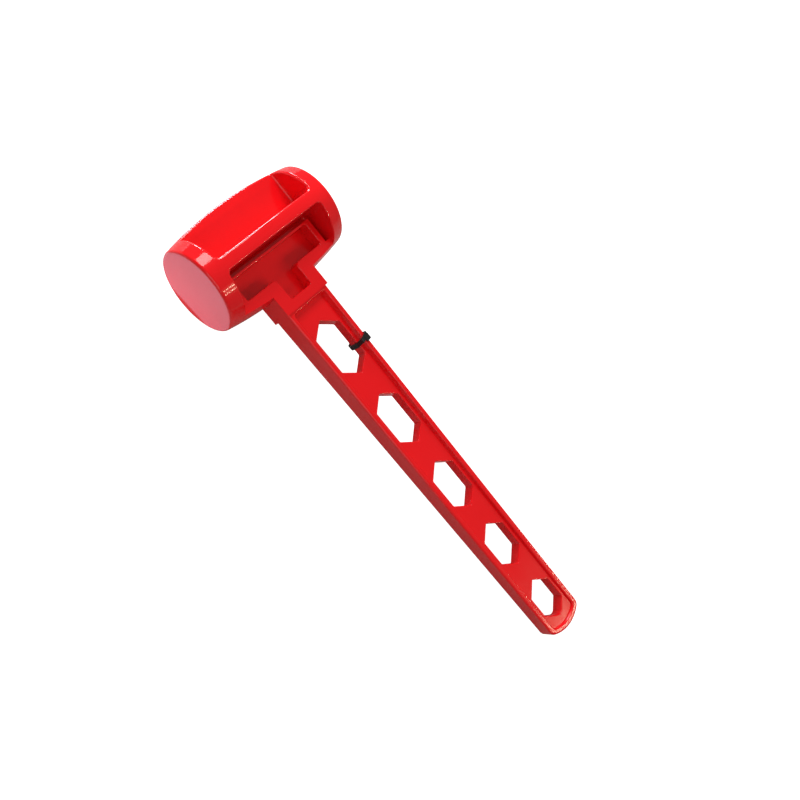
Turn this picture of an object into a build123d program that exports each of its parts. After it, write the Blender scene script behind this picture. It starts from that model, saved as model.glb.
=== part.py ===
"""Plastic tent-peg mallet: a cored barrel head moulded round the T-shaped tang of a windowed
handle, with a cable tie left on one rail of the handle.

Tool frame used while modelling, in millimetres: X runs along the strike axis, +Y from the head
down the handle and +Z out of the front face. The origin is where the strike axis crosses the
handle's centre line. Everything is symmetrical about Z = 0, where the mould parts. At the end
the mallet is laid on its back on the plane Z = 0, resting on the head's rear rail and on the
end of the handle.
"""

import math
import os

from build123d import *

# --- head: barrel with two strike faces ---------------------------------------------------
head_length = 85.0  # strike face to strike face
strike_d = 48.6  # round strike faces
barrel_d = 56.6  # crown of the barrel at mid length
collar_t = 9.0  # solid collar behind each strike face
strike_edge_r = 1.8  # rounded edge of the strike face

# --- head: the cross of web and shelf between the collars ------------------------------------
web_t = 8.0  # upright web, in line with the handle
shelf_t = 7.5  # shelf across the web, whose ends are the front and rear rails
shelf_y = -1.25  # middle of the shelf
pocket_corner_r = 3.0  # where the shelf runs into the collars
root_r = 1.5  # where the web meets the shelf and the collars
pocket_rim_r = 1.3  # rounded rims of the two hollows above the shelf
scoop_rim_r = 0.6  # rims of the two below it, and of the boss

# --- head: T-shaped boss round the tang and the neck it ends in --------------------------------
boss_step_t = 1.2  # boss and neck over the handle, front and back
neck_step_w = 0.65  # neck over the handle, on each side
neck_end_y = 38.2
boss_top_y = 5.4
slot_w = 2.9  # between the boss and each collar
slot_end_y = 20.5  # the slots are closed below this
boss_wall = 1.45  # boss round the ends of the tang's bar
opening_lip = 1.7  # how far the boss reaches over the tang's edge, which locks it in
opening_corner_r = 1.2
opening_root_r = 2.5  # where the opening's bar runs into its stem
opening_end_gap = 5.4  # from the opening to the end of the neck
boss_edge_r = 0.5

# --- handle -----------------------------------------------------------------------------------
tang_bar_top_y = 6.65
tang_bar_bottom_y = 21.3
tang_stem_w = 18.3
tang_gap = 0.05  # moulding shrinkage all round the tang
tang_web_t = 2.0  # floor left where the tang is cored out inside the opening
core_t = 8.0  # web of the handle, and the tang
handle_end_y = 276.6
handle_w_neck = 29.4
handle_w_end = 26.8
handle_t_neck = 16.3
handle_t_end = 10.7
handle_edge_r = 1.3
end_arc_r = 21.0  # arched end of the handle
end_corner_r = 4.5
channel_inset = 3.6  # foot of the rails' inner walls, in from the outline
rail_draft = 12.0  # degrees, inner walls of the rails
channel_neck_wall = 2.2
channel_corner_r = 1.2
channel_rim_r = 0.8  # rounded inner edges of the rails

# --- the five windows through the handle's web -----------------------------------------------
window_first_y = 50.9
window_end_gap = 7.8  # from the last window to the end of the handle
window_point = 7.1  # length of the pointed part at each end
window_margin = 5.3  # from the handle's outline to the windows' sides
window_lengths = [35.9, 34.4, 32.7, 30.3, 27.4]  # in proportion to each other and to the gaps
window_gaps = [15.1, 14.7, 14.0, 13.4]
window_r = 1.0
last_window_r = 3.2  # blunter point next to the handle's end
window_rim_r = 0.5

# --- cable tie round the rail at -X, through the first window ---------------------------------
tie_w = 2.5
tie_t = 0.8
tie_gap = 0.15  # running clearance where the rail is thickest
tie_from_window = 21.3  # from the window's near point, at rest
tie_lean = 0.35  # sideways lean of the strap from the outer side to the window
tie_travel = 9.0  # towards the head
lock_w = 6.2
lock_h = 5.4
lock_t = 4.2
lock_z = -4.2
lock_edge_r = 0.6
tail_w = 3.2
tail_t = 0.95
tail_fold = 3.5  # length of the tail folded over the front
tail_lean = 0.13  # sideways lean of the tail along its length

# --- sizes that follow ------------------------------------------------------------------------
head_half = head_length / 2
hollow_half = head_half - collar_t
barrel_r = barrel_d / 2
web_half = web_t / 2
shelf_top_y = shelf_y - shelf_t / 2
shelf_bottom_y = shelf_y + shelf_t / 2
boss_half = handle_t_neck / 2 + boss_step_t
boss_bar_half = hollow_half - slot_w
neck_half_w = handle_w_neck / 2 + neck_step_w
tang_bar_half = boss_bar_half - boss_wall
tang_stem_half = tang_stem_w / 2
core_half = core_t / 2
clear = barrel_d  # long enough to cut right out of the head
end_half_w = handle_w_end / 2
tie_y = window_first_y + tie_from_window
window_run = handle_end_y - window_end_gap - window_first_y
window_scale = window_run / (sum(window_lengths) + sum(window_gaps))


def handle_half_w(y):
    """Half the handle's width at a distance y down its length."""
    share = (y - neck_end_y) / (handle_end_y - neck_end_y)
    return (handle_w_neck + (handle_w_end - handle_w_neck) * share) / 2


def handle_half_t(y):
    """Half the handle's thickness at a distance y down its length."""
    share = (y - neck_end_y) / (handle_end_y - neck_end_y)
    return (handle_t_neck + (handle_t_end - handle_t_neck) * share) / 2


def tee(bar_half, top_y, bottom_y, stem_half, end_y):
    """Corner points of a T whose bar lies along X and whose stem runs down +Y."""
    return [
        (-bar_half, top_y),
        (bar_half, top_y),
        (bar_half, bottom_y),
        (stem_half, bottom_y),
        (stem_half, end_y),
        (-stem_half, end_y),
        (-stem_half, bottom_y),
        (-bar_half, bottom_y),
    ]


def barrel_radius(x):
    """Radius of the barrel at a distance x along the strike axis."""
    rise = barrel_r - strike_d / 2
    crown_r = (head_half**2 + rise**2) / (2 * rise)
    return barrel_r - crown_r + math.sqrt(crown_r**2 - x**2)


def on_rim(point):
    """Whether a point lies on the barrel between the collars, clear of the boss."""
    if abs(point.X) > hollow_half + 0.1:
        return False
    if point.Y > 0 and abs(point.Z) < boss_half + 0.1:
        return False
    return abs(math.hypot(point.Y, point.Z) - barrel_radius(point.X)) < 0.3


def on_root(point):
    """Whether a point of the core lies where the web's side runs into the shelf or a collar."""
    if abs(point.Z - web_half) > 0.01 or abs(point.Y) > clear:
        return False
    return point.Y < shelf_bottom_y + 0.01 or abs(point.X) > boss_bar_half + 0.1


def blade_sides(start_y, inset):
    """The handle's two sides from start_y to the arch at its end, drawn in by inset."""
    half_w = end_half_w - inset
    arc_r = end_arc_r - inset
    arch_y = handle_end_y - end_arc_r + math.sqrt(arc_r**2 - half_w**2)
    start_half_w = handle_half_w(start_y) - inset
    return [(half_w, arch_y), (start_half_w, start_y), (-start_half_w, start_y), (-half_w, arch_y)]


def window_half_h(start_y, length):
    """Half the height of a window, which narrows with the handle."""
    return handle_half_w(start_y + length / 2) - window_margin


def hexagon(start_y, length):
    """Corner points of one window, with its points up and down the handle."""
    far_y = start_y + length
    half_h = window_half_h(start_y, length)
    return [
        (0, start_y),
        (half_h, start_y + window_point),
        (half_h, far_y - window_point),
        (0, far_y),
        (-half_h, far_y - window_point),
        (-half_h, start_y + window_point),
    ]


def rounded_tee(top_y):
    """The T-shaped opening over the tang, from top_y down, with rounded corners."""
    bar_half = tang_bar_half - opening_lip
    bottom_y = tang_bar_bottom_y - opening_lip
    stem_half = tang_stem_half - opening_lip
    with BuildSketch() as outline:
        with BuildLine():
            end_y = neck_end_y - opening_end_gap
            Polyline(*tee(bar_half, top_y, bottom_y, stem_half, end_y), close=True)
        make_face()
        rows = outline.vertices().group_by(Axis.Y)
        bar_ends = [corner for corner in rows[1] if abs(corner.X) > stem_half + 1]
        fillet(rows[0] + bar_ends + rows[2], opening_corner_r)
        at_root = Vertex(0, bottom_y, 0)
        roots = outline.vertices().sort_by_distance(at_root)[:2]
        fillet(roots, opening_root_r)
    return outline.sketch


cavity_points = tee(
    tang_bar_half + tang_gap,
    tang_bar_top_y - tang_gap,
    tang_bar_bottom_y + tang_gap,
    tang_stem_half + tang_gap,
    neck_end_y + 1,
)
tang_points = tee(
    tang_bar_half, tang_bar_top_y, tang_bar_bottom_y, tang_stem_half, neck_end_y + 2
)
opening = rounded_tee(tang_bar_top_y - tang_gap)
tang_recess = rounded_tee(tang_bar_top_y - 2 * opening_corner_r)

# The tie is sized for the thickest part of the rail that it can reach.
tie_thick_y = tie_y - tie_travel - tie_w / 2
rail_outer_x = handle_half_w(tie_thick_y)
rail_inner_x = window_half_h(window_first_y, window_lengths[0] * window_scale)
rail_half_t = handle_half_t(tie_thick_y)
rail_corners = [
    (-rail_outer_x, -rail_half_t),
    (-rail_outer_x, rail_half_t),
    (channel_inset - rail_outer_x, rail_half_t),
    (-rail_inner_x, core_half),
    (-rail_inner_x, -core_half),
    (channel_inset - rail_outer_x, -rail_half_t),
]
tie_x = rail_outer_x + tie_gap
tie_z = rail_half_t + tie_gap
strap_r = rail_outer_x  # more than the strap's reach from the handle's centre line
tail_fold_y = tie_y + tail_lean * (tie_z + tail_t - lock_z)

# Lying angle at which the barrel and the rounded end of the handle touch the same plane.
end_y = handle_end_y - handle_edge_r
end_z = handle_t_end / 2 - handle_edge_r
lying_angle = math.degrees(
    math.asin((barrel_r - handle_edge_r) / math.hypot(end_y, end_z)) - math.atan2(end_z, end_y)
)

# --- space the mould's cores take up in the head ---------------------------------------------
with BuildPart() as core_tool:
    # Above the shelf.
    with BuildSketch(Plane.XY.offset(web_half)) as pocket:
        with Locations((0, shelf_top_y - clear / 2)):
            Rectangle(2 * hollow_half, clear)
        fillet(pocket.vertices().group_by(Axis.Y)[-1], pocket_corner_r)
    extrude(amount=clear)

    # Below the shelf, round the boss and in front of it.
    with BuildSketch(Plane.XY.offset(web_half)) as scoop:
        with Locations((0, shelf_bottom_y + clear / 2)):
            Rectangle(2 * hollow_half, clear)
        fillet(scoop.vertices().group_by(Axis.Y)[0], pocket_corner_r)
        with Locations((0, boss_top_y + clear / 2)):
            Rectangle(2 * boss_bar_half, clear, mode=Mode.SUBTRACT)
        with Locations((0, slot_end_y + clear / 2)):
            Rectangle(2 * hollow_half, clear, mode=Mode.SUBTRACT)
    extrude(amount=boss_half - web_half)
    with BuildSketch(Plane.XY.offset(boss_half)) as scoop_mouth:
        with Locations((0, shelf_bottom_y + clear / 2)):
            Rectangle(2 * hollow_half, clear)
        fillet(scoop_mouth.vertices().group_by(Axis.Y)[0], pocket_corner_r)
    extrude(amount=clear)
    fillet([edge for edge in core_tool.edges() if on_root(edge.center())], root_r)
    mirror(about=Plane.XY)

# --- head -------------------------------------------------------------------------------------
with BuildPart() as head:
    # Barrel, crowned from one strike face to the other.
    with BuildSketch(Plane.XY):
        with BuildLine():
            crown = ThreePointArc(
                (-head_half, strike_d / 2), (0, barrel_r), (head_half, strike_d / 2)
            )
            Polyline(crown @ 0, (-head_half, 0), (head_half, 0), crown @ 1)
        make_face()
    revolve(axis=Axis.X)
    strike_edges = head.edges().filter_by(GeomType.CIRCLE).group_by(Axis.X)
    fillet(strike_edges[0] + strike_edges[-1], strike_edge_r)

    # The hollows between the collars.
    add(core_tool, mode=Mode.SUBTRACT)

    # The neck carries on from the boss, down to the shoulder of the handle.
    with BuildSketch(Plane.XY.offset(-boss_half)):
        with Locations((0, neck_end_y / 2 + slot_end_y / 2)):
            Rectangle(2 * neck_half_w, neck_end_y - slot_end_y)
    extrude(amount=2 * boss_half)

    # Rounded rims, where the hollows break out through the barrel.
    rims = [edge for edge in head.edges() if on_rim(edge.center())]
    fillet([edge for edge in rims if edge.center().Y < shelf_y], pocket_rim_r)
    rims = [edge for edge in head.edges() if on_rim(edge.center())]
    fillet([edge for edge in rims if edge.center().Y > shelf_y], scoop_rim_r)

    # The boss is open over the tang, and hollow where the tang sits.
    extrude(opening, amount=boss_half, both=True, mode=Mode.SUBTRACT)
    for face in head.faces().filter_by(Plane.XY).filter_by(lambda f: len(f.inner_wires()) == 1):
        fillet(face.inner_wires()[0].edges(), boss_edge_r)
    with BuildSketch(Plane.XY.offset(-core_half - tang_gap)):
        with BuildLine():
            Polyline(*cavity_points, close=True)
        make_face()
    extrude(amount=core_t + 2 * tang_gap, mode=Mode.SUBTRACT)

# --- handle -----------------------------------------------------------------------------------
with BuildPart() as handle:
    # Blade, tapered in width and in thickness, with an arched end.
    with BuildSketch(Plane.XY.offset(-handle_t_neck)) as blade:
        with BuildLine():
            sides = Polyline(*blade_sides(neck_end_y, 0))
            ThreePointArc(sides @ 0, (0, handle_end_y), sides @ 1)
        make_face()
        fillet(blade.vertices().group_by(Axis.Y)[-1], end_corner_r)
    extrude(amount=2 * handle_t_neck)
    with BuildSketch(Plane.YZ.offset(-handle_w_neck)):
        with BuildLine():
            Polyline(
                (neck_end_y, handle_t_neck / 2),
                (handle_end_y, handle_t_end / 2),
                (handle_end_y, -handle_t_end / 2),
                (neck_end_y, -handle_t_neck / 2),
                close=True,
            )
        make_face()
    extrude(amount=2 * handle_w_neck, mode=Mode.INTERSECT)
    broad_faces = handle.faces().sort_by(Axis.Z)
    outline = broad_faces[0].edges() + broad_faces[-1].edges()
    fillet([edge for edge in outline if edge.center().Y > neck_end_y + 1], handle_edge_r)

    # Channels between the rails, front and back.
    for side in (1, -1):
        with BuildSketch(Plane.XY.offset(side * core_half)) as channel:
            with BuildLine():
                sides = Polyline(*blade_sides(neck_end_y + channel_neck_wall, channel_inset))
                ThreePointArc(sides @ 0, (0, handle_end_y - channel_inset), sides @ 1)
            make_face()
            fillet(channel.vertices().group_by(Axis.Y)[-1], end_corner_r - channel_inset / 2)
            fillet(channel.vertices().group_by(Axis.Y)[0], channel_corner_r)
        extrude(amount=side * handle_t_neck / 2, taper=-rail_draft, mode=Mode.SUBTRACT)
    broad_faces = handle.faces().filter_by(lambda face: face.inner_wires()).sort_by(Axis.Z)
    for face in (broad_faces[0], broad_faces[-1]):
        fillet(face.inner_wires()[0].edges(), channel_rim_r)

    # Five windows through the web.
    with BuildSketch(Plane.XY.offset(-core_half)) as windows:
        start_y = window_first_y
        for length, gap in zip(window_lengths, window_gaps + [0]):
            with BuildLine():
                Polyline(*hexagon(start_y, length * window_scale), close=True)
            make_face()
            start_y += (length + gap) * window_scale
        corners = windows.vertices().sort_by(Axis.Y)
        fillet(corners[-1], last_window_r)
        fillet(corners[:-1], window_r)
    extrude(amount=core_t, mode=Mode.SUBTRACT)
    webs = [face for face in handle.faces().filter_by(Plane.XY) if len(face.inner_wires()) > 1]
    for web in webs:
        fillet([edge for wire in web.inner_wires() for edge in wire.edges()], window_rim_r)

    # T-shaped tang, locked in the head and cored out inside the opening.
    with BuildSketch(Plane.XY.offset(-core_half)):
        with BuildLine():
            Polyline(*tang_points, close=True)
        make_face()
    extrude(amount=core_t)
    extrude(tang_recess, amount=core_half, both=True, mode=Mode.SUBTRACT)
    with BuildSketch(Plane.XY.offset(-tang_web_t / 2)):
        with BuildLine():
            Polyline(*tang_points, close=True)
        make_face()
    extrude(amount=tang_web_t)

# --- cable tie --------------------------------------------------------------------------------
with BuildPart() as cable_tie:
    # Strap, drawn askew over the corners of the rail and the edge of the window.
    with BuildSketch(Plane.XZ.offset(-tie_y)):
        with BuildLine():
            Polyline(*rail_corners, close=True)
        make_face()
        offset(amount=tie_gap + tie_t)
    extrude(amount=strap_r, both=True)
    with BuildSketch(Plane.XY.offset(-tie_z - clear)):
        with BuildLine():
            Polyline(
                (-tie_x - strap_r, tie_y - tie_lean * strap_r - tie_w / 2),
                (-tie_x - strap_r, tie_y - tie_lean * strap_r + tie_w / 2),
                (strap_r - tie_x, tie_y + tie_lean * strap_r + tie_w / 2),
                (strap_r - tie_x, tie_y + tie_lean * strap_r - tie_w / 2),
                close=True,
            )
        make_face()
    extrude(amount=2 * clear, mode=Mode.INTERSECT)

    # Cut tail, up the outer side of the rail and folded over its front, askew.
    with BuildSketch(Plane.YZ.offset(-tie_x)):
        with BuildLine():
            Polyline(
                (tie_y - tail_w / 2, lock_z),
                (tie_y + tail_w / 2, lock_z),
                (tail_fold_y + tail_w / 2, tie_z + tail_t),
                (tail_fold_y - tail_w / 2, tie_z + tail_t),
                close=True,
            )
        make_face()
    extrude(amount=-tail_t)
    with BuildSketch(Plane.XY.offset(tie_z)):
        with BuildLine():
            Polyline(
                (-tie_x - tail_t, tail_fold_y - tail_w / 2),
                (-tie_x - tail_t, tail_fold_y + tail_w / 2),
                (-tie_x - tail_t + tail_fold, tail_fold_y + tail_lean * tail_fold + tail_w / 2),
                (-tie_x - tail_t + tail_fold, tail_fold_y + tail_lean * tail_fold - tail_w / 2),
                close=True,
            )
        make_face()
    extrude(amount=tail_t)
    fillet(cable_tie.edges().group_by(Axis.Z)[-1].sort_by(Axis.X)[0], tail_t)

    # Lock on the outer side of the rail, towards the back.
    with BuildSketch(Plane.YZ.offset(-tie_x)):
        with Locations((tie_y, lock_z)):
            RectangleRounded(lock_w, lock_h, lock_edge_r)
    extrude(amount=-lock_t)
    fillet(cable_tie.faces().sort_by(Axis.X)[0].edges(), lock_edge_r)

    # Bore round the rail.
    with BuildSketch(Plane.XZ.offset(-tie_y)):
        with BuildLine():
            Polyline(*rail_corners, close=True)
        make_face()
        offset(amount=tie_gap)
    extrude(amount=strap_r, both=True, mode=Mode.SUBTRACT)

# --- laid on its back -------------------------------------------------------------------------
laid = [Rot(X=-lying_angle) * piece.part for piece in (head, handle, cable_tie)]
box = Compound(laid).bounding_box()
to_floor = Pos(-box.center().X, -box.center().Y, -box.min.Z)
head.part = to_floor * laid[0]
handle.part = to_floor * laid[1]
cable_tie.part = to_floor * laid[2]
head.part.label = "head"
handle.part.label = "handle"
cable_tie.part.label = "cable_tie"

os.makedirs("parts", exist_ok=True)
export_step(head.part, "parts/head.step")
export_step(handle.part, "parts/handle.step")
export_step(cable_tie.part, "parts/cable_tie.step")
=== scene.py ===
"""Red plastic tent-peg mallet with a cable tie on its handle, lying on its back on a white table."""

import math

import bmesh
import bpy
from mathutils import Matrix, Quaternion, Vector

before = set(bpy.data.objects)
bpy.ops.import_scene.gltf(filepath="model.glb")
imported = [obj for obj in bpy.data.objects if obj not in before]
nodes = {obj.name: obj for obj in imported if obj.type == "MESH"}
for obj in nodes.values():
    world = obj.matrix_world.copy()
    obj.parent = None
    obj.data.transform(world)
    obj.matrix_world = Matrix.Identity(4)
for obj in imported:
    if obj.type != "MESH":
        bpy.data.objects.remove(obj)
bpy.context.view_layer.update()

# --- camera -----------------------------------------------------------------------------------
CAMERA_AIM = Vector((-0.0118, -0.0108, 0.012))
CAMERA_SIDE = Vector((0.47059, -0.10444, 0.87615))  # from the aim towards the camera
CAMERA_DISTANCE = 0.500
CAMERA_ROLL = 59.45  # degrees
CAMERA_LENS = 39.98  # millimetres
CAMERA_SHIFT = (0.0027, 0.0009)


def make_camera():
    data = bpy.data.cameras.new("camera")
    data.lens = CAMERA_LENS
    data.sensor_width = 36
    data.shift_x, data.shift_y = CAMERA_SHIFT
    camera = bpy.data.objects.new("camera", data)
    bpy.context.scene.collection.objects.link(camera)
    turn = (-CAMERA_SIDE).to_track_quat("-Z", "Y")
    roll = Quaternion((0, 0, 1), math.radians(CAMERA_ROLL))
    camera.rotation_mode = "QUATERNION"
    camera.rotation_quaternion = turn @ roll
    camera.location = CAMERA_AIM + CAMERA_SIDE.normalized() * CAMERA_DISTANCE
    bpy.context.scene.camera = camera


make_camera()

# --- light ------------------------------------------------------------------------------------


def area_light(name, place, aim, size, power, colour=(1, 1, 1)):
    """A rectangular light of that size in metres, facing its aim."""
    data = bpy.data.lights.new(name, "AREA")
    data.shape = "RECTANGLE"
    data.size, data.size_y = size
    data.energy = power
    data.color = colour
    light = bpy.data.objects.new(name, data)
    bpy.context.scene.collection.objects.link(light)
    light.location = place
    light.rotation_mode = "QUATERNION"
    light.rotation_quaternion = (aim - place).to_track_quat("-Z", "Y")


HEAD_MIDDLE = Vector((0, -0.12, 0.03))
TUBE_DISTANCE = 2.5
TUBE_LENGTH = 2.6
TUBE_MIDDLE_X = -1.0
WORLD_STRENGTH = 0.22


def softbox(name, side, distance, size, radiance, colour=(1, 1, 1)):
    """A softbox seen from the head in the direction side, with that radiance."""
    place = HEAD_MIDDLE + Vector(side).normalized() * distance
    power = radiance * size[0] * size[1] * math.pi
    area_light(name, place, HEAD_MIDDLE, size, power, colour)


def tube(name, out, up, width, radiance, colour):
    """A long strip light parallel to the head, towards (out, up) in Y and Z from its axis."""
    aim = HEAD_MIDDLE + Vector((TUBE_MIDDLE_X, 0, 0))
    place = aim + Vector((0, out, up)).normalized() * TUBE_DISTANCE
    power = radiance * TUBE_LENGTH * width * math.pi
    area_light(name, place, aim, (TUBE_LENGTH, width), power, colour)


LILAC = (1, 0.86, 0.98)
WARM = (1, 0.90, 0.66)
PINK = (1, 0.74, 0.95)
softbox("key", (-0.15, -0.62, 0.77), 1.0, (0.5, 0.4), 8.4)
softbox("fill", (0.8, 0.15, 0.6), 1.0, (0.7, 0.7), 1.1)
softbox("window", (-0.40, -0.88, 0.24), 0.8, (0.24, 0.30), 30, LILAC)
tube("lamp_near", 0.66, 0.72, 0.018, 95, WARM)
tube("lamp_far", 0.76, 0.62, 0.014, 95, WARM)
# A small light on the table that faces up, beside the strike face at +X.
card = Vector((0.070, -0.132, 0.001))
area_light("card", card, card + Vector((0, 0, 1)), (0.048, 0.085), 0.014, PINK)

world = bpy.data.worlds.new("studio")
bpy.context.scene.world = world
world.use_nodes = True
background = world.node_tree.nodes["Background"]
background.inputs["Color"].default_value = (1, 1, 1, 1)
background.inputs["Strength"].default_value = WORLD_STRENGTH

bpy.context.scene.view_settings.view_transform = "Standard"

# --- node helpers -----------------------------------------------------------------------------


def node(tree, kind, **sockets):
    """Add a node; keyword arguments set its inputs, or link them when they are sockets."""
    made = tree.nodes.new(kind)
    for name, value in sockets.items():
        socket = made.inputs[name]
        if isinstance(value, bpy.types.NodeSocket):
            tree.links.new(value, socket)
        else:
            socket.default_value = value
    return made


def new_material(name):
    material = bpy.data.materials.new(name)
    material.use_nodes = True
    tree = material.node_tree
    tree.nodes.clear()
    shader = tree.nodes.new("ShaderNodeBsdfPrincipled")
    output = tree.nodes.new("ShaderNodeOutputMaterial")
    tree.links.new(shader.outputs["BSDF"], output.inputs["Surface"])
    return material, tree, shader


def remap(tree, value, low, high):
    """Spread a 0 to 1 value over low to high."""
    made = node(tree, "ShaderNodeMapRange", Value=value)
    made.inputs["To Min"].default_value = low
    made.inputs["To Max"].default_value = high
    return made.outputs["Result"]


def noise(tree, vector, scale, detail):
    made = node(tree, "ShaderNodeTexNoise", Vector=vector, Scale=scale, Detail=detail)
    return made.outputs["Fac"]


def stretched(tree, vector, scale):
    """Object coordinates stretched by scale along each axis."""
    made = node(tree, "ShaderNodeMapping", Vector=vector)
    made.inputs["Scale"].default_value = scale
    return made.outputs["Vector"]


def moulded_surface():
    """Shared look of glossy moulded plastic: colour drift, haze mask, handling marks, relief."""
    group = bpy.data.node_groups.new("moulded_surface", "ShaderNodeTree")
    add = group.interface.new_socket
    add(name="Vector", in_out="INPUT", socket_type="NodeSocketVector")
    add(name="Drift", in_out="OUTPUT", socket_type="NodeSocketFloat")
    add(name="Haze", in_out="OUTPUT", socket_type="NodeSocketFloat")
    add(name="Relief", in_out="OUTPUT", socket_type="NodeSocketFloat")
    start = group.nodes.new("NodeGroupInput")
    end = group.nodes.new("NodeGroupOutput")
    vector = start.outputs["Vector"]
    drift = noise(group, vector, 32, 3)
    haze = noise(group, vector, 75, 5)
    flow = noise(group, stretched(group, vector, (1, 0.35, 1)), 26, 1)
    scuffs = noise(group, stretched(group, vector, (900, 40, 300)), 1.0, 3)
    marks = remap(group, scuffs, -1.6, 2.4)
    relief = node(group, "ShaderNodeMath")
    relief.operation = "MULTIPLY_ADD"
    group.links.new(marks, relief.inputs[0])
    relief.inputs[1].default_value = 0.05
    group.links.new(flow, relief.inputs[2])
    group.links.new(drift, end.inputs["Drift"])
    group.links.new(haze, end.inputs["Haze"])
    group.links.new(relief.outputs["Value"], end.inputs["Relief"])
    return group


surface_group = moulded_surface()


def surface(tree):
    """The moulded surface group, fed with object coordinates; also returns the coordinates."""
    where = tree.nodes.new("ShaderNodeTexCoord").outputs["Object"]
    made = tree.nodes.new("ShaderNodeGroup")
    made.node_tree = surface_group
    tree.links.new(where, made.inputs["Vector"])
    return made.outputs, where


def mix_colour(tree, factor, first, second):
    """A colour between first and second, by factor."""
    made = tree.nodes.new("ShaderNodeMix")
    made.data_type = "RGBA"
    tree.links.new(factor, made.inputs["Factor"])
    made.inputs["A"].default_value = (*first, 1)
    made.inputs["B"].default_value = (*second, 1)
    return made.outputs["Result"]


# --- floor ------------------------------------------------------------------------------------


FLOOR_REACH = 40  # metres from the middle to each side


def make_floor():
    """A white table that glows for the camera alone, so its reflections stay grey."""
    shape = bmesh.new()
    bmesh.ops.create_grid(shape, x_segments=1, y_segments=1, size=FLOOR_REACH)
    mesh = bpy.data.meshes.new("floor")
    shape.to_mesh(mesh)
    shape.free()
    floor = bpy.data.objects.new("floor", mesh)
    bpy.context.scene.collection.objects.link(floor)
    material, tree, shader = new_material("light_table")
    where = tree.nodes.new("ShaderNodeTexCoord").outputs["Object"]
    grain = noise(tree, where, 240, 3)
    white = mix_colour(tree, grain, (0.44, 0.44, 0.44), (0.47, 0.47, 0.47))
    tree.links.new(white, shader.inputs["Base Color"])
    tree.links.new(remap(tree, grain, 0.7, 0.9), shader.inputs["Roughness"])
    shader.inputs["Emission Color"].default_value = (1, 1, 1, 1)
    seen = tree.nodes.new("ShaderNodeLightPath").outputs["Is Camera Ray"]
    tree.links.new(seen, shader.inputs["Emission Strength"])
    mesh.materials.append(material)


make_floor()

# --- materials --------------------------------------------------------------------------------


def red_plastic(name, first, second, smooth, hazy):
    """Glossy red moulded plastic between two close reds, roughness from smooth to hazy."""
    material, tree, shader = new_material(name)
    outputs, _ = surface(tree)
    red = mix_colour(tree, outputs["Drift"], first, second)
    tree.links.new(red, shader.inputs["Base Color"])
    tree.links.new(remap(tree, outputs["Haze"], smooth, hazy), shader.inputs["Roughness"])
    bump = node(tree, "ShaderNodeBump", Height=outputs["Relief"], Distance=0.0002)
    bump.inputs["Strength"].default_value = 0.4
    tree.links.new(bump.outputs["Normal"], shader.inputs["Normal"])
    shader.inputs["IOR"].default_value = 1.47
    return material


def black_nylon(name):
    """Satin black nylon with a fine moulded grain."""
    material, tree, shader = new_material(name)
    outputs, where = surface(tree)
    black = mix_colour(tree, outputs["Drift"], (0.004, 0.004, 0.005), (0.010, 0.010, 0.012))
    tree.links.new(black, shader.inputs["Base Color"])
    tree.links.new(remap(tree, outputs["Haze"], 0.32, 0.5), shader.inputs["Roughness"])
    grain = noise(tree, where, 3200, 2)
    bump = node(tree, "ShaderNodeBump", Height=grain, Distance=0.00005)
    bump.inputs["Strength"].default_value = 0.6
    tree.links.new(bump.outputs["Normal"], shader.inputs["Normal"])
    shader.inputs["IOR"].default_value = 1.53
    return material


head_red = red_plastic("head_plastic", (0.78, 0.0045, 0.008), (0.85, 0.0075, 0.012), 0.07, 0.15)
handle_red = red_plastic("handle_plastic", (0.80, 0.004, 0.007), (0.87, 0.007, 0.011), 0.09, 0.18)
nylon = black_nylon("tie_nylon")


def dress(name, material):
    mesh = nodes[name].data
    mesh.materials.clear()
    mesh.materials.append(material)


dress("head", head_red)
dress("handle", handle_red)
dress("cable_tie", nylon)
